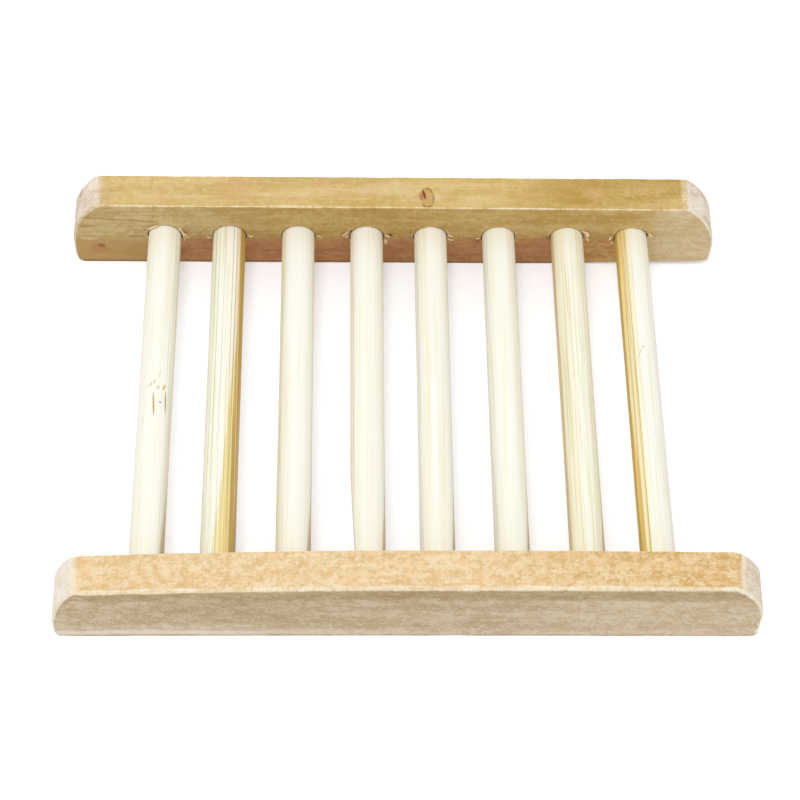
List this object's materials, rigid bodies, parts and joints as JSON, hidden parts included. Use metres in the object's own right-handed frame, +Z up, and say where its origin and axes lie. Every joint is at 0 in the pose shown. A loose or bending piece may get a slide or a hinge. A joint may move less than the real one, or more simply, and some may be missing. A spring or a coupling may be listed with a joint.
{
  "type": "soap dish",
  "caption": "Open ladder-shaped tray: upright rails with rounded ends joined by a row of round dowels that hold a bar of soap clear of the surface to drain.",
  "frame": {"origin": "on the surface that the dish stands on, under the middle of its outline", "axes": "+X along the rails to the right, +Y from the front rail to the back rail, +Z up"},
  "size_m": [0.1196, 0.0844, 0.017],
  "materials": {
    "rail_wood": "bare sanded wood",
    "dowel_bamboo": "bare bamboo rod"
  },
  "bodies": {
    "root": {"front_rail": "rail_wood", "back_rail": "rail_wood", "dowel_1": "dowel_bamboo", "dowel_2": "dowel_bamboo", "dowel_3": "dowel_bamboo", "dowel_4": "dowel_bamboo", "dowel_5": "dowel_bamboo", "dowel_6": "dowel_bamboo", "dowel_7": "dowel_bamboo", "dowel_8": "dowel_bamboo"}
  },
  "joints": []
}
